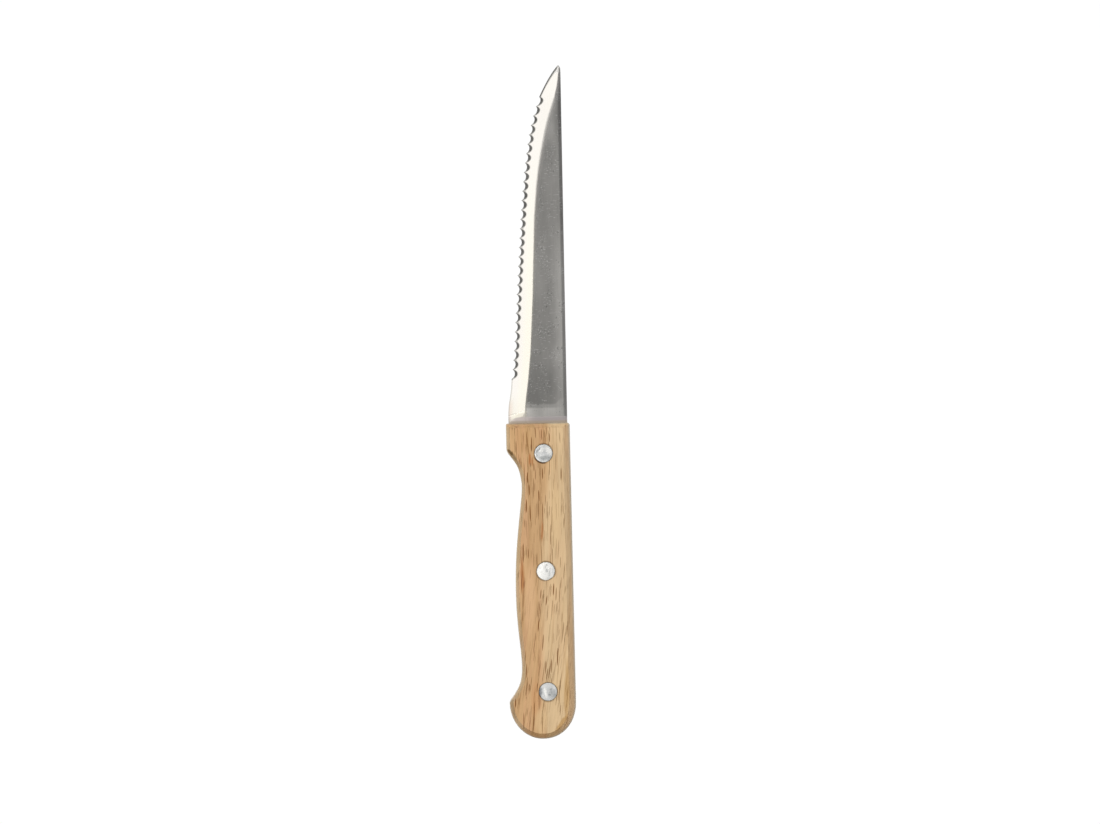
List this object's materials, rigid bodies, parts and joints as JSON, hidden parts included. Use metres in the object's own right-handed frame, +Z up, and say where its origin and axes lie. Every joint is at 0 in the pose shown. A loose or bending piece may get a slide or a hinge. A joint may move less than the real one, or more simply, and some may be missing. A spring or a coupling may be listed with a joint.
{
  "type": "steak knife",
  "caption": "Slim pointed steak knife with a straight spine, a bevelled scalloped edge, a full steel tang and riveted wooden scales with a finger notch and a rounded butt.",
  "frame": {"origin": "bottom centre of the box round the knife as it lies flat on its side on a table", "axes": "+Y along the knife from the butt to the tip, +X to the spine with the cutting edge at -X, +Z up from the table through the thickness of the handle"},
  "size_m": [0.0212, 0.2152, 0.0135],
  "materials": {
    "blade_steel": "satin flats with a bright ground bevel",
    "oiled_wood": "light tan hardwood with short dark pores, sanded and oiled",
    "rivet_metal": "bright, hammered flat and lightly dented"
  },
  "bodies": {
    "root": {"blade": "blade_steel", "upper_scale": "oiled_wood", "lower_scale": "oiled_wood", "front_rivet_sleeve": "rivet_metal", "front_rivet_pin": "rivet_metal", "middle_rivet_sleeve": "rivet_metal", "middle_rivet_pin": "rivet_metal", "rear_rivet_sleeve": "rivet_metal", "rear_rivet_pin": "rivet_metal"}
  },
  "joints": []
}
